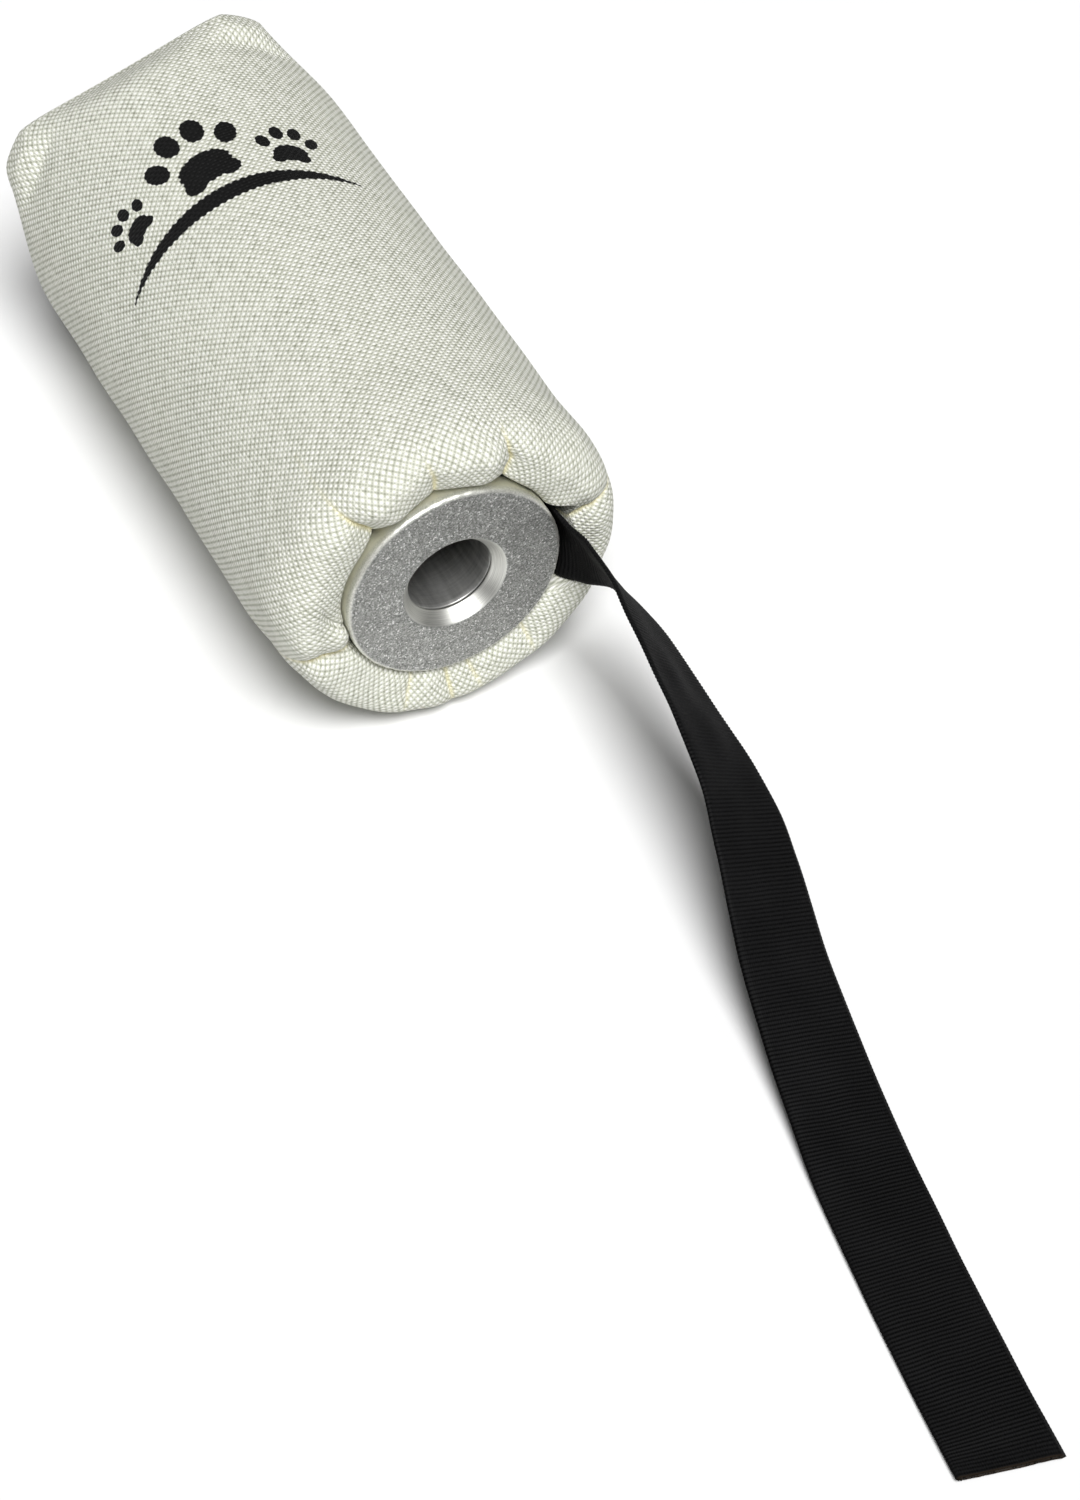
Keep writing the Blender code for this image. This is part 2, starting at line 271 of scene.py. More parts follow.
class Nodes:
    """Builds a material's nodes with short calls."""

    def __init__(self, name, colour, roughness, metallic=0.0):
        self.material = bpy.data.materials.new(name)
        self.material.use_nodes = True
        self.tree = self.material.node_tree
        self.shader = self.tree.nodes["Principled BSDF"]
        self.set(Base_Color=colour, Roughness=roughness, Metallic=metallic)

    def feed(self, socket, value):
        if isinstance(value, Signal):
            self.tree.links.new(value.socket, socket)
        elif isinstance(value, tuple) and len(socket.default_value) == 4:
            socket.default_value = (*value, 1.0)
        else:
            socket.default_value = value

    def set(self, **values):
        """Feeds the shader's own sockets."""
        for key, value in values.items():
            self.feed(self.shader.inputs[key.replace("_", " ")], value)

    def node(self, kind, output=0, inputs=(), **settings):
        """One output of a new node. inputs holds values in order, or by socket."""
        made = self.tree.nodes.new(kind)
        for key, value in settings.items():
            setattr(made, key, value)
        for socket, value in inputs.items() if isinstance(inputs, dict) else enumerate(inputs):
            self.feed(made.inputs[socket], value)
        return Signal(self, made.outputs[output])

    def maths(self, operation, *values):
        return self.node("ShaderNodeMath", 0, values, operation=operation)

    def vector(self, operation, *values):
        output = "Value" if operation == "LENGTH" else "Vector"
        return self.node("ShaderNodeVectorMath", output, values, operation=operation)

    def split(self, vector):
        made = self.tree.nodes.new("ShaderNodeSeparateXYZ")
        self.feed(made.inputs[0], vector)
        return [Signal(self, out) for out in made.outputs]

    def join(self, x, y):
        return self.node("ShaderNodeCombineXYZ", 0, (x, y))

    def span(self, value, low, high, to_low=0.0, to_high=1.0, kind="LINEAR"):
        return self.node("ShaderNodeMapRange", 0, (value, low, high, to_low, to_high),
                         interpolation_type=kind)

    def mix(self, share, first, second):
        return self.node("ShaderNodeMix", 2, {0: share, 6: first, 7: second}, data_type="RGBA")

    def noise(self, place, scale, detail=2.0, roughness=0.5):
        return self.node("ShaderNodeTexNoise", "Fac", {"Vector": place, "Scale": scale,
                                                       "Detail": detail, "Roughness": roughness})

    def cells(self, output, place, scale, feature):
        return self.node("ShaderNodeTexVoronoi", output, {"Vector": place, "Scale": scale},
                         feature=feature)

    def ramp(self, value, *stops):
        """A colour band. stops are (position, colour) in rising order."""
        made = self.tree.nodes.new("ShaderNodeValToRGB")
        for position, _ in stops[1:-1]:
            made.color_ramp.elements.new(position)
        for element, (position, colour) in zip(made.color_ramp.elements, stops):
            element.position = position
            element.color = (*colour, 1.0)
        self.feed(made.inputs[0], value)
        return Signal(self, made.outputs[0])

    def place(self):
        return self.node("ShaderNodeTexCoord", "Object")

    def weave_place(self):
        """The weave's two coordinates: 1 is a yarn of the canvas, or a yarn and a rib of the webbing."""
        return self.split(self.node("ShaderNodeUVMap", uv_map="weave"))[:2]

    def attribute(self, name):
        return self.node("ShaderNodeAttribute", "Fac", attribute_name=name)

    def bump(self, height, distance, strength=1.0):
        self.set(Normal=self.node("ShaderNodeBump", 0, {"Height": height, "Distance": distance,
                                                        "Strength": strength}))


def grey(value):
    return value, value, value


def ellipse(nodes, u, v, centre, size, lean):
    """How far outside an ellipse a point is: below 1 it is inside. Places are in yarns."""
    x, y = u - centre[0], v - centre[1]
    cosine, sine = math.cos(lean), math.sin(lean)
    first = x * (cosine / size[0]) + y * (sine / size[0])
    second = y * (cosine / size[1]) - x * (sine / size[1])
    return nodes.vector("LENGTH", nodes.join(first, second))


# A paw: (across, up) of each pad, its half sizes and its lean, for a paw one unit wide
PAW = [((0.0, -0.22), (0.30, 0.22), 0.0), ((-0.19, -0.36), (0.14, 0.12), 0.5),
       ((0.19, -0.36), (0.14, 0.12), -0.5), ((-0.42, 0.10), (0.115, 0.165), 0.35),
       ((-0.155, 0.33), (0.12, 0.18), 0.12), ((0.155, 0.33), (0.12, 0.18), -0.12),
       ((0.42, 0.10), (0.115, 0.165), -0.35)]
# Each printed paw: distance round the body from +X, depth and width in metres, and its lean
PRINTED_PAWS = [(0.0690, 0.1030, 0.0205, 0.10), (0.0885, 0.0985, 0.0110, 0.45),
                (0.0500, 0.0975, 0.0125, -0.25)]
# The stroke under them is the part of a ring behind STROKE_DEPTH, thinned out to both sides
STROKE_CENTRE = (0.0685, 0.0080)
STROKE_RADIUS = 0.0810
STROKE_HALF_WIDTH = 0.0022
STROKE_HALF_LENGTH = 0.0300
STROKE_DEPTH = 0.0498


def print_mask(nodes, u, v, weave):
    """1 on the printed paws and the stroke under them. The edge follows the yarns a little."""
    inside = None
    for around, depth, width, lean in PRINTED_PAWS:
        for (across, up), (half_across, half_up), pad_lean in PAW:
            x = -(across * math.cos(lean) - up * math.sin(lean)) * width
            y = (across * math.sin(lean) + up * math.cos(lean)) * width
            centre = (around + x) / YARN, (depth + y) / YARN
            size = half_across * width / YARN, half_up * width / YARN
            distance = ellipse(nodes, u, v, centre, size, -(lean + pad_lean))
            inside = distance if inside is None else nodes.maths("MINIMUM", inside, distance)
    x, y = u - STROKE_CENTRE[0] / YARN, v - STROKE_CENTRE[1] / YARN
    off = abs(nodes.vector("LENGTH", nodes.join(x, y)) - STROKE_RADIUS / YARN)
    share = x * (YARN / STROKE_HALF_LENGTH)
    half_width = (1 - share * share) * (STROKE_HALF_WIDTH / YARN)
    ahead = nodes.span(v, STROKE_DEPTH / YARN, STROKE_DEPTH / YARN + 1, 9.0, 0.0)
    paws = nodes.span(inside + weave * 0.05, 0.97, 1.03, 1.0, 0.0)
    stroke = nodes.span(off - half_width + ahead + weave * 0.3, -0.1, 0.25, 1.0, 0.0)
    return nodes.maths("MAXIMUM", paws, stroke)


def canvas_material():
    """Plain-woven white nylon: bright yarn crowns, greyer crossings and gaps, and a black print."""
    nodes = Nodes("white_canvas", (0.80, 0.81, 0.73), 0.62)
    u, v = nodes.weave_place()
    along, across = nodes.maths("SINE", u * math.pi), nodes.maths("SINE", v * math.pi)
    weave = along * across     # 1 where a yarn lies over along the body, -1 where one lies across it
    over, under = nodes.maths("MAXIMUM", weave, 0.0), nodes.maths("MAXIMUM", weave * -1, 0.0)
    gaps = ((1 - abs(along)) * (1 - abs(across))) ** 1.3       # 1 where four yarns meet
    yarns = nodes.join(u, v)
    strand = nodes.node("ShaderNodeTexWhiteNoise", "Value", {"Vector": nodes.vector("FLOOR", yarns)},
                        noise_dimensions="2D")
    fibres = nodes.noise(nodes.vector("MULTIPLY", yarns, (1.0, 7.0, 1.0)), 1.6)
    slubs = nodes.noise(nodes.join(nodes.maths("FLOOR", u), v * 0.06), 3.7, 1.0)
    mottle = nodes.noise(nodes.place(), 55.0, 3.0)
    tone = over ** 1.6 * 0.54 + 0.58 - under ** 1.3 * 0.46 - gaps * 0.45
    tone = tone + nodes.span(strand, 0, 1, -0.09, 0.09)
    tone = tone + nodes.span(slubs, 0.3, 0.7, -0.06, 0.06) + nodes.span(fibres, 0.3, 0.7, -0.05, 0.05)
    cloth = nodes.ramp(tone, (0.0, (0.20, 0.21, 0.155)), (0.35, (0.48, 0.49, 0.41)),
                       (0.62, (0.71, 0.715, 0.635)), (0.92, (0.86, 0.86, 0.82)))
    cloth = nodes.mix(nodes.span(mottle, 0.35, 0.75, 0.0, 0.10), cloth, (0.62, 0.62, 0.50))
    cloth = nodes.mix(nodes.attribute("fold") * 0.80, cloth, (0.84, 0.78, 0.47))
    inked = nodes.ramp(tone, (0.0, grey(0.003)), (1.0, grey(0.010)))
    nodes.set(Base_Color=nodes.mix(print_mask(nodes, u, v, weave), cloth, inked),
              Roughness=nodes.span(weave, -1, 1, 0.75, 0.55), Specular_IOR_Level=0.15)
    nodes.bump(over * 0.55 + under * 0.30 - gaps * 0.40 + fibres * 0.15, 0.00030)
    return nodes.material


def webbing_material():
    """Black grosgrain: fine warp yarns that bow over the ribs, which are in the mesh itself."""
    nodes = Nodes("black_webbing", (0.012, 0.012, 0.013), 0.62)
    u, v = nodes.weave_place()
    yarns, ribs = nodes.maths("SINE", u * (2 * math.pi)), nodes.maths("SINE", v * (2 * math.pi))
    fibres = nodes.noise(nodes.join(u * 2.0, v * 1.3), 1.0, 3.0)
    mottle = nodes.noise(nodes.place(), 90.0, 3.0)
    tone = yarns * 0.12 + 0.45 + ribs * 0.28
    tone = tone + nodes.span(fibres, 0.3, 0.7, -0.25, 0.25) + nodes.span(mottle, 0.3, 0.7, -0.12, 0.12)
    colour = nodes.ramp(tone, (0.0, (0.0012, 0.0012, 0.0013)), (1.0, (0.009, 0.009, 0.0094)))
    nodes.set(Base_Color=nodes.mix(nodes.attribute("burnt"), colour, (0.020, 0.014, 0.009)),
              Roughness=nodes.span(fibres, 0.3, 0.7, 0.50, 0.72), Specular_IOR_Level=0.06)
    nodes.bump(yarns * 0.35 + fibres, 0.00006, 0.6)
    return nodes.material


def from_axis(nodes):
    """The depth, the distance from the body's axis, and the direction round it, of a place on metal."""
    x, y, z = nodes.split(nodes.place())
    height = z - AXIS_Z
    return y - FRONT_Y, nodes.vector("LENGTH", nodes.join(x, height)), nodes.maths("ARCTAN2", height, x)


def cast_material():
    """Blasted aluminium: sparkling grain on the face, a worn rim, a bright machined countersink."""
    nodes = Nodes("cast_aluminium", (0.42, 0.42, 0.41), 0.5, 1.0)
    place = nodes.place()
    depth, radius, angle = from_axis(nodes)
    grain = nodes.noise(place, 4200.0, 3.0, 0.65)
    coarse = nodes.noise(place, 1600.0)
    cloudy = nodes.noise(place, 130.0, 3.0)
    sparkle, pits, _ = nodes.split(nodes.cells("Color", place, 3300.0, "F1"))
    tone = grain * 0.62 + coarse * 0.10 + pits * 0.28
    blasted = nodes.ramp(tone, (0.30, (0.15, 0.155, 0.145)), (0.5, (0.325, 0.33, 0.315)),
                         (0.74, (0.60, 0.60, 0.58)))
    blasted = nodes.mix(nodes.span(sparkle, 0.90, 0.97) * 0.80, blasted, (0.93, 0.93, 0.92))
    blasted = nodes.mix(nodes.span(cloudy, 0.35, 0.7, 0.0, 0.18), blasted, (0.27, 0.27, 0.255))
    rim = nodes.span(radius, FLANGE_RADIUS - 0.0009, FLANGE_RADIUS - 0.0003, kind="SMOOTHSTEP")
    wall = nodes.span(depth, 0.0010, 0.0022, kind="SMOOTHSTEP")
    worn = nodes.ramp(grain, (0.3, (0.50, 0.50, 0.45)), (0.7, (0.92, 0.92, 0.87)))
    worn = nodes.mix(wall, worn, (0.86, 0.85, 0.76))
    mouth = nodes.span(radius, MOUTH_RADIUS - 0.00012, MOUTH_RADIUS + 0.00012, 1.0, 0.0)
    lines = nodes.noise(nodes.join(depth * 9000.0, angle * 1.2), 1.0, 3.0)
    machined = nodes.ramp(lines, (0.3, (0.52, 0.52, 0.49)), (0.7, (0.80, 0.80, 0.76)))
    rough = nodes.mix(mouth, nodes.mix(wall, grey(0.52), grey(0.42)), grey(0.43))
    nodes.set(Base_Color=nodes.mix(mouth, nodes.mix(rim, blasted, worn), machined),
              Roughness=nodes.split(rough)[0])
    nodes.bump(tone * (1 - mouth) + lines * mouth * 0.25, 0.00005, 0.9)
    return nodes.material


def bore_material():
    """The drawn tube: dark, smooth, with faint turned rings and rubbed streaks along it."""
    nodes = Nodes("machined_aluminium", grey(0.20), 0.35, 0.85)
    depth, _, angle = from_axis(nodes)
    rings = nodes.noise(nodes.join(depth * 2400.0, angle * 0.6), 1.0, 3.0)
    streaks = nodes.noise(nodes.join(depth * 60.0, angle * 9.0), 1.0, 3.0)
    smudges = nodes.noise(nodes.place(), 300.0, 3.0)
    colour = nodes.ramp(rings * 0.4 + streaks * 0.6, (0.3, (0.30, 0.30, 0.29)), (0.75, (0.62, 0.62, 0.60)))
    nodes.set(Base_Color=nodes.mix(nodes.span(smudges, 0.45, 0.75, 0.0, 0.6), colour, grey(0.18)),
              Roughness=nodes.span(smudges, 0.3, 0.7, 0.34, 0.52))
    nodes.bump(rings, 0.00003, 0.5)
    return nodes.material


def thread_material():
    """Bonded sewing thread: fine plies, and a little dirt."""
    nodes = Nodes("white_thread", (0.84, 0.83, 0.76), 0.5)
    ply = nodes.noise(nodes.place(), 2600.0)
    dirt = nodes.noise(nodes.place(), 160.0, 3.0)
    colour = nodes.ramp(ply, (0.3, (0.62, 0.61, 0.54)), (0.7, (0.90, 0.89, 0.83)))
    nodes.set(Base_Color=nodes.mix(nodes.span(dirt, 0.4, 0.8, 0.0, 0.35), colour, (0.60, 0.57, 0.46)),
              Roughness=nodes.span(ply, 0.3, 0.7, 0.45, 0.65), Sheen_Weight=0.1)
    nodes.bump(ply, 0.00006, 0.7)
    return nodes.material


def foam_material():
    """Closed-cell foam: small cells with thin walls."""
    nodes = Nodes("foam", (0.62, 0.62, 0.59), 0.9)
    wall = nodes.span(nodes.cells("Distance", nodes.place(), 1100.0, "DISTANCE_TO_EDGE"), 0.0, 0.18)
    shade = nodes.noise(nodes.place(), 80.0, 3.0)
    colour = nodes.ramp(wall, (0.0, (0.70, 0.70, 0.67)), (1.0, (0.50, 0.50, 0.47)))
    nodes.set(Base_Color=nodes.mix(nodes.span(shade, 0.3, 0.7, 0.0, 0.3), colour, (0.45, 0.44, 0.40)),
              Roughness=nodes.span(shade, 0.3, 0.7, 0.82, 0.95))
    nodes.bump(wall, 0.0002, 0.6)
    return nodes.material


def floor_material():
    nodes = Nodes("pale_floor", grey(0.81), 0.8)
    shade = nodes.noise(nodes.place(), 6.0)
    nodes.set(Base_Color=nodes.mix(nodes.span(shade, 0.3, 0.7), grey(0.82), grey(0.79)),
              Specular_IOR_Level=0.1, Emission_Color=grey(1.0), Emission_Strength=0.02)
    return nodes.material


# ---------------------------------------------------------------- camera, lights, floor

CAMERA_PLACE = (-0.2310, -0.5654, 0.5899)
CAMERA_TURN = (42.087, 0.0, -26.895)       # degrees
CAMERA_LENS = 93.5
KEY_PLACE = (-0.20, -1.02, 1.74)           # the key light's direction, seen from the object
KEY_SPREAD = 26.0                          # its width in degrees, which softens the shadows
KEY_STRENGTH = 4.25
FILL_STRENGTH = 0.08
FLOOR_SIZE = 80.0
FLOOR_DROP = 0.0004                        # keeps the floor clear of what lies on it


def add_object(name, data, place, turn):
    made = bpy.data.objects.new(name, data)
    bpy.context.scene.collection.objects.link(made)
    made.location, made.rotation_euler = place, turn
    return made


def make_camera():
    data = bpy.data.cameras.new("camera")
    data.lens, data.clip_start, data.clip_end = CAMERA_LENS, 0.01, 100.0
    turn = [math.radians(t) for t in CAMERA_TURN]
    bpy.context.scene.camera = add_object("camera", data, CAMERA_PLACE, turn)


def make_stage():
    bpy.ops.mesh.primitive_plane_add(size=FLOOR_SIZE, location=(0.0, 0.0, -FLOOR_DROP))
    floor = bpy.context.object
    floor.name = "floor"
    floor.data.materials.append(floor_material())
    world = bpy.data.worlds.new("studio")
    bpy.context.scene.world = world
    world.use_nodes = True
    background = world.node_tree.nodes["Background"]
    background.inputs["Color"].default_value = (1.0, 1.0, 1.0, 1.0)
    background.inputs["Strength"].default_value = FILL_STRENGTH
    bpy.context.scene.view_settings.view_transform = "Standard"
    light = bpy.data.lights.new("key", "SUN")
    light.angle, light.energy = math.radians(KEY_SPREAD), KEY_STRENGTH
    add_object("key", light, KEY_PLACE, (-Vector(KEY_PLACE)).to_track_quat("-Z", "Y").to_euler())


# ---------------------------------------------------------------- the streamer

def webbing_frames(route):
    """The route's points, and the directions along, across and out of the webbing there."""
    centre = np.stack([route[:, 0] / 1000, FRONT_Y + route[:, 1] / 1000, route[:, 2] / 1000], 1)
    along = np.gradient(centre, axis=0)
    along /= np.linalg.norm(along, axis=1)[:, None]
    level = np.cross(along, (0.0, 0.0, 1.0))
    level /= np.linalg.norm(level, axis=1)[:, None]
    upright = np.cross(level, along)
    turn = np.radians(route[:, 3])[:, None]
    across = upright * np.cos(turn) + level * np.sin(turn)
    return centre, along, across, np.cross(along, across)


def make_streamer(material):
    """The webbing, with its ribs, its bowed exit from the cover and its slanting hot-cut end."""
    route = smooth_route(STREAMER_ROUTE, 40)
    lengths = np.r_[0, np.cumsum(np.linalg.norm(np.diff(route[:, :3], axis=0), axis=1))] / 1000
    even = np.arange(0, lengths[-1], RIB_PITCH / 5)
    route = np.stack([np.interp(even, lengths, column) for column in route.T], 1)
    centre, along, across, out = webbing_frames(route)
    start = int(np.argmin(np.abs(route[:, 1] - STREAMER_ROUTE[EXIT_POINT][1])))

    # One section: a flat oval, as shares of half the width and half the thickness
    flat = np.linspace(-1, 1, 25)
    edge = np.sqrt(np.clip(1 - np.clip((np.abs(flat) - 0.93) / 0.07, 0, 1) ** 2, 0.0, 1))
    side = np.r_[flat, flat[::-1][1:-1]]
    face = np.r_[np.maximum(edge, 0.15), -np.maximum(edge, 0.15)[::-1][1:-1]]

    s, end = even[:, None], even[-1]
    rib = 0.5 + 0.5 * np.cos(2 * np.pi * s / RIB_PITCH)
    rib = rib + (1 - rib) * 0.8 * step_between(s, end - 0.0060, end - 0.0010)
    swell = 1 - 0.24 * (1 - rib) * (1 - 0.7 * (np.abs(side) > 0.93))
    width = WEBBING_WIDTH / 2 * side * (1 + 0.006 * rib)
    height = WEBBING_THICKNESS / 2 * face * swell + 0.00016 * waves(5, s * 90, side * 1.5, count=10)
    hug = 0.0022 * step_between(s, 0.0235, 0.0170) * step_between(s, 0.0065, 0.0105)
    height = height + hug * (side ** 2 - 0.45)
    slant = (-CUT_SLANT * side - CUT_BACK) * step_between(s, end - 0.012, end)
    fray = 0.00005 * waves(9, side * 40, side * 11) * (s > end - 0.0004)
    points = (centre[:, None] + across[:, None] * width[..., None] + out[:, None] * height[..., None]
              + along[:, None] * (slant + fray)[..., None])
    points[..., 2] = np.maximum(points[..., 2], WEBBING_LOWEST)

    rows, columns = len(even), len(side)
    faces = grid_faces(rows, columns)[:, ::-1]
    yarns = WEBBING_WIDTH / 2 * side / 0.00045 + 0.5 * (np.arange(columns) >= len(flat))
    uv = np.stack(np.broadcast_arrays(yarns, s / RIB_PITCH), -1).reshape(-1, 2)[faces.ravel()]
    uv = np.concatenate([uv, np.zeros((2 * columns, 2))])
    faces = faces.tolist() + [cap(0, columns), cap(rows - 1, columns)[::-1]]
    burnt = np.repeat(step_between(s, end - 0.0005, end - 0.0001), columns, 1)
    piece = mesh_object("streamer_webbing", points, faces, material, uv, {"burnt": burnt})
    place_on_body(piece, "black_webbing", "streamer")
    path = centre[start:]
    return piece, path, float(np.linalg.norm(np.diff(path, axis=0), axis=1).sum())


def make_fused_end(material):
    """Small beads of melted yarn along the hot-cut end of the webbing."""
    random = np.random.default_rng(17)
    centre, along, across, out = (a[-1] for a in webbing_frames(smooth_route(STREAMER_ROUTE, 6)))
    beads = []
    for place in np.linspace(-0.97, 0.97, 40):
        if random.random() < 0.35:
            continue
        base = centre + across * place * WEBBING_WIDTH / 2 - along * (CUT_SLANT * place + CUT_BACK)
        start = base + out * random.uniform(-0.0003, 0.0003) - along * 0.0001
        beads.append([start, start + along * random.uniform(0.00005, 0.00025)
                      + across * random.uniform(-0.0001, 0.0001)])
    piece = tubes("streamer_fused_end", beads, 0.00014, material)
    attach(piece, "root")
    return piece


# ---------------------------------------------------------------- the canvas cover

# The cover's section through the front: radius and depth (mm), from inside the hem's tunnel outwards
MERIDIAN = [(19.0, 12.6), (14.6, 12.6), (13.3, 11.8), (12.9, 10.4), (13.3, 9.0), (14.6, 8.2),
            (18.0, 8.1), (21.0, 8.1), (23.0, 7.2), (23.6, 5.4), (23.8, 3.9), (24.5, 2.6), (26.1, 1.5),
            (28.6, 0.7), (31.9, 0.27), (35.3, 2.2), (37.2, 5.6), (37.9, 10.5), (38.0, 15.0), (38.0, 22.0)]
# The pleats: angle of the crease at the rim, half way and at its outer end (degrees), how deep it is,
# how far out it reaches and how wide its side is (mm), and which side stands higher
PLEATS = [
    (10.0, 14.0, 13.0, 2.4, 38.8, 1.2, 0.3), (61.0, 63.5, 70.0, 3.2, 37.2, 1.3, 0.9),
    (97.0, 97.0, 99.0, 1.7, 35.0, 1.2, -0.4), (129.5, 130.0, 130.5, 3.0, 38.4, 1.2, -0.9),
    (204.0, 196.5, 196.0, 2.9, 38.6, 1.3, -0.5), (247.0, 247.5, 249.0, 1.0, 34.5, 1.0, 0.4),
    (265.0, 267.0, 269.0, 1.4, 36.8, 1.0, -0.4), (276.0, 278.5, 280.0, 1.0, 34.5, 1.0, 0.4),
    (308.0, 304.0, 300.0, 1.1, 33.0, 1.3, 0.4),
]
# How far the shoulder stands proud of a plain round body (angle in degrees, mm)
SHOULDER = [(16, 0.9), (45, 0.3), (72, -0.1), (97, 0.1), (131, -0.3), (165, 0.2), (196, -0.9),
            (212, -1.1), (228, -0.7), (250, 0.1), (268, -0.3), (297, -1.0), (322, 0.5), (345, 0.6)]
HIDDEN_SHARE = 0.6             # of the cloth that the mouth gathers, the share swallowed by the folds
PLAIN_ROW = -60                # a row on the round part of the body
FRONT_DEPTH = 0.0200           # the pleated front ends before this depth


def cover_rows():
    """Radius, depth and distance along the cloth of each row, up to where the boxed end rounds over."""
    curve = smooth_route(np.array(MERIDIAN) / 1000, 30)
    radii, depths = curve.T
    along = np.r_[0, np.cumsum(np.hypot(*np.diff(curve, axis=0).T))]
    tunnel = along[np.argmin(np.abs(radii - 0.0230) + np.abs(depths - 0.0074))]
    rows = np.r_[np.linspace(0, tunnel, 30, endpoint=False), np.arange(tunnel, along[-1], 0.00036)]
    fine = BOX_START - 0.004
    body = np.r_[np.arange(depths[-1], fine, 0.0022), np.arange(fine, BODY_LENGTH - END_ROUNDING, 0.0006)]
    return (np.r_[np.interp(rows, along, radii), np.full(len(body), BODY_RADIUS)],
            np.r_[np.interp(rows, along, depths), body], np.r_[rows, along[-1] + body - depths[-1]])


def cover_angles(radius, depth):
    """The angle of every column in every row, its lobe, and the creases. A column runs down each crease."""
    creases = np.radians([p[:3] for p in PLEATS])
    reach = np.where(depth < FRONT_DEPTH, radius, BODY_RADIUS)
    lines = np.stack([np.interp(reach, [FLANGE_RADIUS, 0.0300, 0.0360], c) for c in creases], 1)
    lines = np.concatenate([lines, lines[:, :1] + 2 * np.pi], 1)
    angles, lobes = [], []
    for k in range(len(PLEATS)):
        share = (creases[(k + 1) % len(PLEATS), 2] - creases[k, 2]) % (2 * np.pi) / (2 * np.pi)
        count = round(10 + 440 * share)
        t = np.arange(count) / count
        t = t - 0.5 * np.sin(2 * np.pi * t) / (2 * np.pi)
        angles.append(lines[:, k:k + 1] + t * (lines[:, k + 1:k + 2] - lines[:, k:k + 1]))
        lobes += [k] * count
    return np.concatenate(angles, 1), np.array(lobes), lines


def box_share(depth):
    """How far into the boxed part of the body a depth is, from 0 to 1."""
    return np.clip((depth - BOX_START) / (BODY_LENGTH - END_ROUNDING - BOX_START), 0, 1)


def box_outline(angle, share):
    """Radius 1's outline, squarer as the share grows while its girth is kept."""
    def reach(turn, n):
        return (np.abs(np.cos(turn)) ** n + np.abs(np.sin(turn)) ** n) ** (-1 / n)

    turn = np.linspace(0, 2 * np.pi, 721)
    steps = np.linspace(2, BOX_EXPONENT, 16)
    girths = [np.hypot(np.diff(reach(turn, n) * np.cos(turn)), np.diff(reach(turn, n) * np.sin(turn))).sum()
              for n in steps]
    exponent = 2 + (BOX_EXPONENT - 2) * share ** BOX_EASE
    return reach(angle - BOX_TURN, exponent) * np.interp(exponent, steps, 2 * np.pi / np.array(girths))


def pleat_moves(radius, depth, angle, lines):
    """How far each point of the front stands out of the plain roll, and how deep in a fold it lies."""
    move, fold = np.zeros_like(angle), np.zeros_like(angle)
    front = (depth < FRONT_DEPTH) * step_between(radius, 0.0190, 0.0234)
    for k, (_, _, _, deep, reach, width, lean) in enumerate(PLEATS):
        deep, reach, width = deep / 1000, reach / 1000, width / 1000
        off = turn_between(angle, lines[:, k:k + 1]) * radius
        fade = step_between(radius, reach, reach - 0.0065) * front
        fade = fade * (0.45 + 0.55 * step_between(radius, FLANGE_RADIUS, 0.0275))
        sharp = 0.45 * crease_at(off, 0.45 * width) + 0.55 * np.exp(-np.abs(off / (2.6 * width)) ** 1.6)
        ridge = bump_at(np.abs(off), 4.2 * width, 2.8 * width) * (0.24 + 0.20 * lean * np.sign(off))
        move += deep * fade * (ridge - sharp)
        fold = np.maximum(fold, bump_at(off, 0, 0.00048) * np.sqrt(fade) * min(deep / 0.0020, 1))
    return move, fold


def small_tuck(radius, depth, angle):
    """The small tuck that the deep left-hand crease folds over, by the rim."""
    puff = bump_at(turn_between(angle, math.radians(192.0)) * radius, 0, 0.0042)
    edge = turn_between(angle, math.radians(183.0) + (0.0255 - radius) * 60) * radius
    return (depth < FRONT_DEPTH) * (0.0012 * puff * bump_at(radius, 0.0262, 0.0024)
                             - 0.0015 * crease_at(edge, 0.0008) * bump_at(radius, 0.0262, 0.0028))


